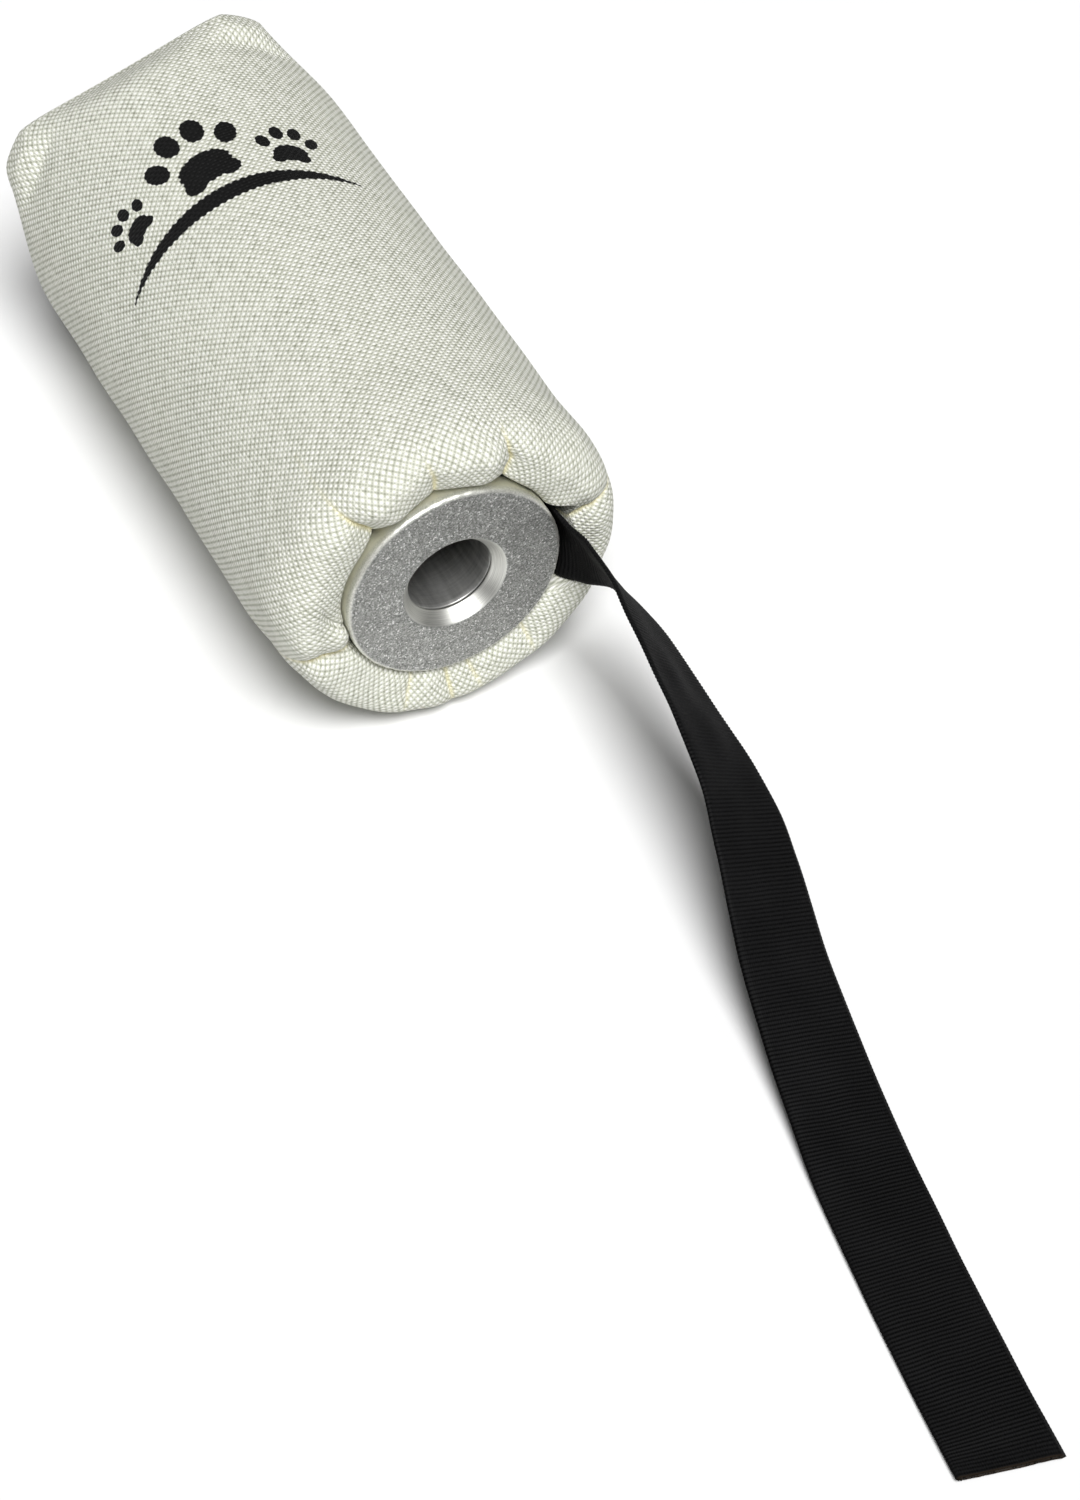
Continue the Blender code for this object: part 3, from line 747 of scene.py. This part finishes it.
def raise_cloth(points, radius, depth, angle, lines):
    """Gives the plain body its pleats, tuck, soft waves, lapped seam and shoulder.

    It also gives how deep in a fold each point lies.
    """
    normal = np.cross(np.gradient(points, axis=0), np.roll(points, -1, 1) - np.roll(points, 1, 1))
    normal /= np.linalg.norm(normal, axis=-1)[..., None] + 1e-12
    middle = len(points) // 2
    if (normal[middle, :, 0] * points[middle, :, 0]).sum() < 0:
        normal = -normal
    move, fold = pleat_moves(radius, depth, angle, lines)
    move += small_tuck(radius, depth, angle)
    roll = step_between(radius, 0.0232, 0.0255) * step_between(radius, 0.0372, 0.0330)
    move += 0.0006 * (depth < FRONT_DEPTH) * roll
    place = [points[..., k] * 1000 for k in (0, 2, 1)]
    soft_front = step_between(radius, 0.0240, 0.0280) * step_between(depth, 0.03, 0.010)
    move += 0.00022 * waves(3, *place, low=0.25, high=0.7) * soft_front
    move += 0.00016 * waves(4, *place, low=0.08, high=0.30) * step_between(depth, 0.006, 0.03)
    lap = turn_between(angle, SEAM_ANGLE) * BODY_RADIUS
    seam = step_between(depth, 0.004, 0.012) * step_between(BODY_LENGTH - depth, 0.0050, 0.0160)
    move += 0.00045 * seam * step_between(lap, -0.0050, -0.0030) * step_between(lap, 0.0039, 0.0036)
    for row in (-0.5, 0.5):
        dent = seam * bump_at(lap, row * SEAM_SPACING * BODY_RADIUS, 0.0007)
        move -= 0.00022 * dent * (0.6 + 0.4 * np.cos(2 * np.pi * depth / STITCH_PITCH))
    points = points + normal * move[..., None]
    table = np.concatenate([np.array(SHOULDER, float) + (turn, 0) for turn in (-360, 0, 360)])
    proud = np.interp(np.degrees(angle) % 360, table[:, 0], table[:, 1]) / 1000
    proud = (np.roll(proud, 7, 1) + np.roll(proud, -7, 1) + proud) / 3
    proud = proud * step_between(radius, 0.0325, 0.0372) * step_between(depth, 0.026, 0.008)
    points[..., 0] += np.cos(angle) * proud
    points[..., 2] += np.sin(angle) * proud
    return points, fold


def cover_yarns(radius, depth, angle, lobes, lines, outline):
    """How many yarns round the body the left and the right side of every quad lie."""
    x, z = outline[-1] * np.cos(angle[-1]), outline[-1] * np.sin(angle[-1])
    around = np.r_[0, np.cumsum(np.hypot(np.diff(np.r_[x, x[0]]), np.diff(np.r_[z, z[0]])))]
    wide = np.concatenate([angle, angle[:, :1] + 2 * np.pi], 1) / (2 * np.pi)
    boxed = box_share(depth) ** 2
    yarns = wide[PLAIN_ROW] * (1 - boxed) + (wide[-1, 0] + around / around[-1]) * boxed
    gathered = 1 - HIDDEN_SHARE * (1 - np.where(depth < 0.03, radius / BODY_RADIUS, 1))
    front = depth[:, 0] < 0.0150
    sides = [yarns[:, :-1].copy(), yarns[:, 1:].copy()]
    for k in range(len(PLEATS)):
        mine = np.flatnonzero(lobes == k)
        middle = (lines[:, k:k + 1] + lines[:, k + 1:k + 2]) / (4 * np.pi)
        centre = (yarns[PLAIN_ROW, mine[0]] + yarns[PLAIN_ROW, mine[-1] + 1]) / 2
        for shift, side in enumerate(sides):
            side[np.ix_(front, mine)] = (centre + (wide[:, mine + shift] - middle) * gathered)[front]
    return [side * YARNS_ROUND for side in sides]


def clear_neighbours(points):
    """Keeps the cover off the flange and off the webbing that passes through its mouth."""
    x, depth, z = (points[..., k] for k in range(3))
    lift = np.maximum((FLANGE_RADIUS + 0.00020) / np.maximum(np.hypot(x, z), 1e-6), 1)
    lift = np.where(depth < FLANGE_THICKNESS + 0.0006, lift, 1)
    x *= lift
    z *= lift
    route = np.array(STREAMER_ROUTE[:9])[::-1] / 1000
    webbing = np.interp(depth, route[:, 1], route[:, 0]) + 0.0012
    height = z - (STREAMER_ROUTE[EXIT_POINT][2] / 1000 - AXIS_Z)
    window = step_between(0.0122 - np.abs(height), 0, 0.0022) * (x > 0.019)
    window = window * step_between(depth, -0.001, 0.0) * step_between(depth, 0.0079, 0.0074)
    x += window * np.maximum(webbing - x, 0)


def make_cover(material):
    radius, depth, along = (a[:, None] for a in cover_rows())
    angle, lobes, lines = cover_angles(radius[:, 0], depth[:, 0])
    columns = angle.shape[1]
    outline = box_outline(angle, box_share(depth))
    reach = radius * outline
    points = np.stack([reach * np.cos(angle), depth + 0 * angle, reach * np.sin(angle)], -1)
    points, fold = raise_cloth(points, radius, depth, angle, lines)
    weave_u = cover_yarns(radius, depth, angle, lobes, lines, outline)
    weave_v = [(along - along[-1] + depth[-1]) / YARN + 0 * angle] * 2
    points, weave_u, weave_v, fold = add_rear_end(points, angle[-1], weave_u, weave_v, fold)
    points = dent_corners(points)
    clear_neighbours(points)
    points[..., 1] += FRONT_Y
    points[..., 2] = np.maximum(points[..., 2] + AXIS_Z, 0.00005)

    rows = len(points)
    row, column = np.divmod(np.arange((rows - 1) * columns), columns)
    uv = np.stack([np.stack([weave_u[side][row + down, column], weave_v[side][row + down, column]], 1)
                   for down, side in ((0, 0), (1, 0), (1, 1), (0, 1))], 1).reshape(-1, 2)
    uv = np.concatenate([uv, np.stack([weave_u[0][-1], weave_v[0][-1]], 1)])
    faces = grid_faces(rows, columns).tolist() + [cap(rows - 1, columns)]
    piece = mesh_object("cover_canvas", points, faces, material, uv, {"fold": fold})
    place_on_body(piece, "white_canvas", "canvas_cover")
    return piece


def add_rear_end(points, angle, weave_u, weave_v, fold):
    """Rows over the rounded edge and across the end, whose cloth meets in a seam and four folds."""
    columns = points.shape[1]
    rim = points[-1][:, (0, 2)]
    tangent = np.roll(rim, -1, 0) - np.roll(rim, 1, 0)
    outward = np.stack([tangent[:, 1], -tangent[:, 0]], 1)
    outward /= np.linalg.norm(outward, axis=1)[:, None]
    rise = points[-1] - points[-4]
    slope = np.arctan2(-(rise[:, (0, 2)] * outward).sum(1), rise[:, 1])
    slope = sum(np.roll(slope, k) for k in range(-4, 5)) / 9
    bend = END_ROUNDING / (1 - np.sin(slope))
    new, new_u, new_v = [], [[], []], [[], []]
    for share in np.linspace(0, 1, 12)[1:]:
        turn = slope + share * (np.pi / 2 - slope)
        place = rim - outward * (bend * (np.cos(slope) - np.cos(turn)))[:, None]
        depth = BODY_LENGTH - END_ROUNDING + bend * (np.sin(turn) - np.sin(slope))
        new.append(np.stack([place[:, 0], depth, place[:, 1]], 1))
        for side in (0, 1):
            new_u[side].append(weave_u[side][-1])
            new_v[side].append(weave_v[side][-1] + np.roll(bend * (turn - slope), -side) / YARN)

    # Flat rings across the end, which the seam (at z = 0) and the diagonals part into four sectors
    edge_v = [rows[-1] for rows in new_v]
    edge_x = place @ np.array([math.cos(BOX_TURN), math.sin(BOX_TURN)])
    edge_z = place @ np.array([-math.sin(BOX_TURN), math.cos(BOX_TURN)])
    middle = (angle + np.roll(angle, -1) + (np.arange(columns) == columns - 1) * 2 * np.pi) / 2 - BOX_TURN
    quarter = np.round(middle / (np.pi / 2)).astype(int)
    base = (BOX_TURN + quarter * np.pi / 2) / (2 * np.pi) * YARNS_ROUND
    for f in np.r_[np.linspace(1, 0.04, 33)[1:], 0.02, 0.004]:
        x, z = edge_x * f, edge_z * f
        seam = bump_at(z, 0, 0.0011) * step_between(0.033 - np.abs(x), 0, 0.006)
        relief = 0.0011 * (1 - f ** 2.5) - 0.0010 * seam + 0.0004 * bump_at(np.abs(z), 0.0034, 0.0022)
        relief += 0.00012 * np.cos(2 * np.pi * x / STITCH_PITCH) * bump_at(np.abs(z), 0.0016, 0.0012)
        diagonal = crease_at(np.abs(x) - np.abs(z), 0.0013)
        relief -= 0.0005 * diagonal * step_between(f, 0.42, 0.62) * step_between(f, 1.0, 0.94)
        relief += 0.0003 * waves(21, x * 1000, z * 1000, low=0.1, high=0.45) * (1 - f ** 4)
        new.append(np.stack([place[:, 0] * f, BODY_LENGTH + relief, place[:, 1] * f], 1))
        for side in (0, 1):
            px, pz = np.roll(x, -side), np.roll(z, -side)
            lateral = np.choose(quarter % 4, [pz, -px, -pz, px])
            inward = np.choose(quarter % 4, [edge_x.max() - px, edge_z.max() - pz,
                                             px - edge_x.min(), pz - edge_z.min()])
            new_u[side].append(base + lateral / YARN)
            new_v[side].append(edge_v[side] + inward / YARN)
    weave_u = [np.concatenate([old, added]) for old, added in zip(weave_u, new_u)]
    weave_v = [np.concatenate([old, added]) for old, added in zip(weave_v, new_v)]
    fold = np.concatenate([fold, np.zeros((len(new), columns))])
    return np.concatenate([points, new]), weave_u, weave_v, fold


EAR_ANGLES = [BOX_TURN + math.pi / 4 + k * math.pi / 2 for k in range(4)]
EAR_DEPTH = 0.1352             # where the crease between an ear and the filled body lies


def dent_corners(points):
    """The end's four corners are unfilled ears: a crease behind each, and a flattened tip."""
    x, depth, z = (points[..., k].copy() for k in range(3))
    angle, reach = np.arctan2(z, x), np.hypot(x, z)
    move = np.zeros_like(x)
    for k, corner in enumerate(EAR_ANGLES):
        off = turn_between(angle, corner) * BODY_RADIUS
        line = EAR_DEPTH - 0.0006 * np.cos(off / 0.004 + k) + 0.05 * off * (1 if k % 2 else -1)
        dent = 0.0009 * bump_at(depth, line - 0.0012, 0.0026) + 0.0005 * crease_at(depth - line, 0.0007)
        move -= np.exp(-(np.abs(off) / 0.0085) ** 3) * dent
        tip = bump_at(off, 0, 0.0065) * step_between(depth, EAR_DEPTH, EAR_DEPTH + 0.004)
        move += 0.0003 * tip * step_between(depth, BODY_LENGTH, BODY_LENGTH - 0.001)
        cosine, sine = math.cos(corner), math.sin(corner)
        facet = 0.985 * (x * cosine + z * sine) + 0.17 * (depth - BODY_LENGTH)
        excess = 0.8 * np.maximum(facet - facet.max() + 0.0014, 0)
        x -= cosine * excess
        z -= sine * excess
    scale = 1 + move / np.maximum(reach, 0.01) * (reach > 0.02)
    return np.stack([x * scale, depth, z * scale], -1)


# ---------------------------------------------------------------- metal

def make_flange(material):
    """The cast disc: a rough rounded rim, a machined countersink and a bore for the tube."""
    rim, edge = 0.0009, 0.0004
    lip = MOUTH_DEPTH + 0.0004
    profile = [(FLANGE_BORE_RADIUS, FLANGE_THICKNESS), (FLANGE_RADIUS - edge, FLANGE_THICKNESS),
               (FLANGE_RADIUS, FLANGE_THICKNESS - edge)]
    profile += [(FLANGE_RADIUS, d) for d in np.linspace(FLANGE_THICKNESS - edge, rim, 10)[1:-1]]
    profile += arc((FLANGE_RADIUS - rim, rim), rim, 0, -90, 12)
    face_end = MOUTH_RADIUS + 0.0002
    profile += [(r, 0.0) for r in np.linspace(FLANGE_RADIUS - rim, face_end, 34)[1:]]
    profile += arc((face_end, 0.0002), 0.0002, -90, -135, 3)[1:]
    profile += list(zip(np.linspace(MOUTH_RADIUS, BORE_RADIUS, 14)[1:], np.linspace(0, MOUTH_DEPTH, 14)[1:]))
    profile += [(BORE_RADIUS, lip), (FLANGE_BORE_RADIUS, lip)]

    def roughen(radius, depth, angle):
        x, z = radius * np.cos(angle) * 1000, radius * np.sin(angle) * 1000
        outer = step_between(radius, FLANGE_RADIUS - 0.0030, FLANGE_RADIUS - 0.0008)
        front = (depth < 0.0030) * (radius > MOUTH_RADIUS + 0.0002)
        rough = waves(31, x, z, depth * 1000, low=2.0, high=9.0, count=26)
        slow = waves(32, x, z, low=0.2, high=0.9)
        depth = depth + front * (0.00003 * rough * (0.4 + outer) + 0.00006 * slow * outer)
        radius = radius - outer * (0.00004 + 0.00004 * rough)
        return radius, depth

    piece = lathe("flange_casting", profile, 320, material, closed=True, wobble=roughen)
    return place_on_body(piece, "cast_aluminium", "front_flange")


def make_tube_and_plug(material):
    front, rear = tube_low.y - FRONT_Y, tube_high.y - FRONT_Y
    edge = 0.0002
    inside = [(BORE_RADIUS, d) for d in np.linspace(front + edge, rear - edge, 90)]
    profile = [(BORE_RADIUS + edge, rear), (TUBE_RADIUS - edge, rear), (TUBE_RADIUS, rear - edge)]
    profile += [(TUBE_RADIUS, d) for d in np.linspace(rear - edge, front + edge, 20)[1:-1]]
    profile += [(TUBE_RADIUS, front + edge), (TUBE_RADIUS - edge, front), (BORE_RADIUS + edge, front)]

    def rings(radius, depth, angle):
        inner = radius < BORE_RADIUS + 0.0001
        return radius + inner * 0.00003 * (1 + waves(41, depth * 1000, count=9, low=0.4, high=2.0)), depth

    tube = lathe("bore_tube", profile + inside, 160, material, closed=True, wobble=rings)
    place_on_body(tube, "machined_aluminium", "launcher_tube")
    plug_front, plug_rear = plug_low.y - FRONT_Y, plug_high.y - FRONT_Y
    plug_radius = (plug_high.x - plug_low.x) / 2
    chamfer = 0.0005
    profile = [(0.0001, plug_rear), (plug_radius - chamfer, plug_rear), (plug_radius, plug_rear - chamfer),
               (plug_radius, plug_front + chamfer), (plug_radius - chamfer, plug_front)]
    profile += [(r, plug_front + 0.00012 * math.sin(r / 0.00035))
                for r in np.linspace(plug_radius - 0.001, 0.0001, 40)]
    plug = lathe("bore_plug", profile, 96, material)
    place_on_body(plug, "machined_aluminium", "tube_plug")


# ---------------------------------------------------------------- foam

def make_foam(material):
    """The closed-cell sleeve and the pad behind it, a little uneven as moulded foam is."""
    front, rear = foam_low.y - FRONT_Y, foam_high.y - FRONT_Y
    bore = TUBE_RADIUS + 0.0006
    collar, recess = 0.0290, 0.0136
    profile = [(bore, rear), (FOAM_RADIUS - 0.001, rear), (FOAM_RADIUS - 0.0005, rear - 0.001)]
    profile += [(FOAM_RADIUS - 0.0005, d) for d in np.linspace(rear - 0.002, 0.0180, 50)]
    profile += arc((FOAM_RADIUS - 0.0075, 0.0130), 0.0070, 0, -80, 8)
    profile += [(collar + 0.0010, front + 0.0030), (collar, front + 0.0040), (collar, recess), (bore, recess)]
    profile += [(bore, d) for d in np.linspace(recess, rear, 30)[1:-1]]

    def uneven(radius, depth, angle):
        lumps = waves(51, radius * np.cos(angle) * 300, radius * np.sin(angle) * 300, depth * 300)
        return radius + 0.0002 * lumps * (radius > 0.015), depth

    sleeve = lathe("foam_core", profile, 120, material, closed=True, wobble=uneven)
    place_on_body(sleeve, "foam", "foam_sleeve")
    pad_front, pad_rear = pad_low.y - FRONT_Y, pad_high.y - FRONT_Y
    columns = 160
    angle = 2 * np.pi * np.arange(columns) / columns
    rows = []
    for depth in np.r_[np.linspace(pad_front, BOX_START, 8), np.linspace(BOX_START, pad_rear, 14)[1:]]:
        reach = (FOAM_RADIUS - 0.0006) * box_outline(angle, box_share(depth))
        reach = reach - 0.0045 * step_between(depth, pad_rear - 0.006, pad_rear) ** 2
        rows.append(around_axis(reach, depth + 0 * angle, angle))
    faces = grid_faces(len(rows), columns).tolist()
    faces += [cap(0, columns)[::-1], cap(len(rows) - 1, columns)]
    pad = mesh_object("foam_nose", np.array(rows), faces, material)
    place_on_body(pad, "foam", "nose_pad")


# ---------------------------------------------------------------- cords and threads

def make_drawcord(material):
    """A laid cord of three strands in the hem's tunnel."""
    radius = (cord_high.x - cord_low.x) / 2 - (cord_high.y - cord_low.y) / 2
    depth = (cord_low.y + cord_high.y) / 2 - FRONT_Y
    angle = np.linspace(0, 2 * np.pi, 600, endpoint=False)
    strands = []
    for k in range(3):
        lay = angle * 30 + k * 2 * np.pi / 3
        strands.append(around_axis(radius + 0.00043 * np.cos(lay), depth + 0.00043 * np.sin(lay), angle))
    piece = tubes("drawcord_strands", strands, 0.00045, material, closed=True)
    place_on_body(piece, "white_thread", "drawcord")


def stitches(surface, start, end):
    """A thread that comes up out of the cloth and goes back into it. surface(s) is a point and normal."""
    rise, sink = 0.00022, 0.00030
    count = max(1, round((end - start) / STITCH_PITCH))
    path = []
    for s in np.linspace(start, end, count * 12 + 1):
        phase = (s - start) / (end - start) * count % 1.0
        lift = math.sin(math.pi * phase) ** 0.6 if 0 < phase < 1 else 0.0
        place, normal = surface(s)
        path.append(place + normal * (lift * (rise + sink) - sink))
    return path


def make_threads(material, cover):
    """Both rows of the side seam, the end seam, the hem's row and the tack on the streamer's tail."""
    outside = 0.08

    def on_cover(place, outward):
        """The cover's surface, seen from outside a place, and the direction out of it."""
        hit, found, _, _ = cover.ray_cast(place + outward * outside, -outward)
        return np.array(found if hit else place), np.array(outward)

    def beside_axis(angle, depth, radius):
        return Vector((radius * math.cos(angle), FRONT_Y + depth, AXIS_Z + radius * math.sin(angle)))

    for sign, node in ((-0.5, "side_seam_thread_a"), (0.5, "side_seam_thread_b")):
        angle = SEAM_ANGLE + sign * SEAM_SPACING
        outward = Vector((math.cos(angle), 0.0, math.sin(angle)))
        path = stitches(lambda depth: on_cover(beside_axis(angle, depth, 0.0), outward),
                        0.0085, BOX_START + 0.012)
        piece = tubes(node + "_stitches", [path], SEAM_THREAD, material)
        place_on_body(piece, "white_thread", node)

    half = (end_high.z - end_low.z) / 2 / math.sin(BOX_TURN)
    beside = Vector((-math.sin(BOX_TURN), 0.0, math.cos(BOX_TURN))) * 0.0022
    rearward = Vector((0.0, 1.0, 0.0))
    path = stitches(lambda s: on_cover(beside_axis(BOX_TURN, BODY_LENGTH, s) + beside, rearward), -half, half)
    piece = tubes("end_seam_stitches", [path], SEAM_THREAD, material)
    place_on_body(piece, "white_thread", "end_seam_thread")

    hem_radius, hem_depth = (hem_high.x - hem_low.x) / 2, (hem_low.y + hem_high.y) / 2 - FRONT_Y
    angle = np.linspace(0, 2 * np.pi, 900, endpoint=False)
    path = around_axis(hem_radius - 0.0001, hem_depth + 0.00012 * np.cos(angle * 40), angle)
    piece = tubes("hem_stitches", [path], 0.0002, material, closed=True)
    place_on_body(piece, "white_thread", "hem_thread")

    tack_low, tack_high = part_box("streamer_tack_thread")
    inset, count = 0.0003, 13
    corners = [(tack_low.x + inset if k % 2 else tack_high.x - inset, (tack_low.y + tack_high.y) / 2, z)
               for k, z in enumerate(np.linspace(tack_low.z + inset, tack_high.z - inset, count))]
    piece = tubes("tack_stitches", [smooth_route(corners, 8)], 0.00022, material)
    place_on_body(piece, "white_thread", "streamer_tack_thread")


# ---------------------------------------------------------------- the object

make_camera()
webbing = webbing_material()
streamer, exit_path, exposed = make_streamer(webbing)
fused_end = make_fused_end(webbing)

canvas, thread, bore_metal, foam = canvas_material(), thread_material(), bore_material(), foam_material()
cover = make_cover(canvas)
make_flange(cast_material())
make_tube_and_plug(bore_metal)
make_foam(foam)
make_drawcord(thread)
make_threads(thread, cover)
make_stage()
